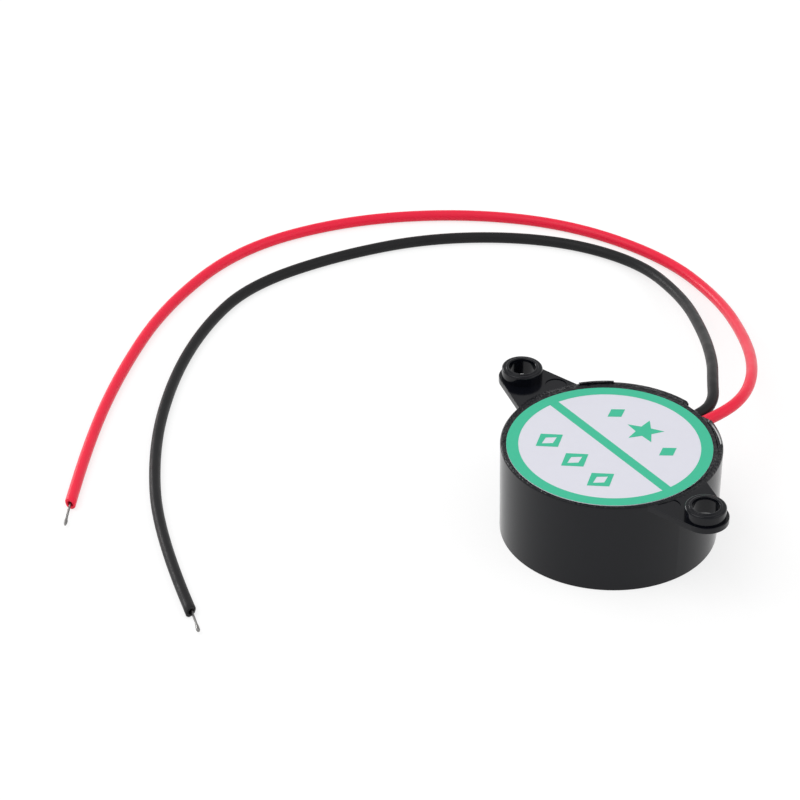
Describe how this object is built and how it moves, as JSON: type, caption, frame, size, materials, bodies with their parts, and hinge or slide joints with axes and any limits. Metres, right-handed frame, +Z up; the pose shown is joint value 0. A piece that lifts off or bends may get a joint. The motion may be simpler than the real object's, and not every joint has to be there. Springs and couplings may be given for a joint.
{
  "type": "buzzer",
  "caption": "Round panel-mount buzzer: black moulded cup with two drilled ears, a sealed and labelled back, a sound port in the face, and two loose wire leads.",
  "frame": {"origin": "centre of the sound face, on the surface that the buzzer stands on", "axes": "+X through the two screw ears, +Y out of the lead notch, +Z up from the sound face to the labelled back"},
  "size_m": [0.1094, 0.1096, 0.0151],
  "materials": {
    "housing": "semi-gloss moulded black",
    "brass": "rolled sheet",
    "adhesive": "cured silicone",
    "ceramic": "sintered",
    "silver": "fired silver paste",
    "circuit_board": "pressed phenolic paper",
    "solder": "bright solder",
    "component_body": "moulded epoxy",
    "ferrite": "sintered",
    "copper": "enamelled wire",
    "resistor_body": "lacquered",
    "seal": "cast epoxy",
    "label": "satin film",
    "label_print": "green print",
    "red_insulation": "satin extruded sleeve",
    "black_insulation": "satin extruded sleeve",
    "blue_insulation": "satin extruded sleeve",
    "tinned_strands": "tinned strands with a bead of solder"
  },
  "bodies": {
    "root": {"housing": "housing", "diaphragm": "brass", "diaphragm_adhesive": "adhesive", "piezo_ceramic": "ceramic", "main_electrode": "silver", "feedback_electrode": "silver", "circuit_board": "circuit_board", "board_joints": "solder", "lead_joints": "solder", "sounder_joints": "solder", "transistor": "component_body", "inductor_core": "ferrite", "inductor_winding": "copper", "bias_resistor": "resistor_body", "feedback_resistor": "resistor_body", "ground_lead": "black_insulation", "drive_lead": "red_insulation", "feedback_lead": "blue_insulation", "back_seal": "seal", "label": "label", "red_lead": "red_insulation", "black_lead": "black_insulation", "red_conductor": "tinned_strands", "black_conductor": "tinned_strands"}
  },
  "joints": []
}
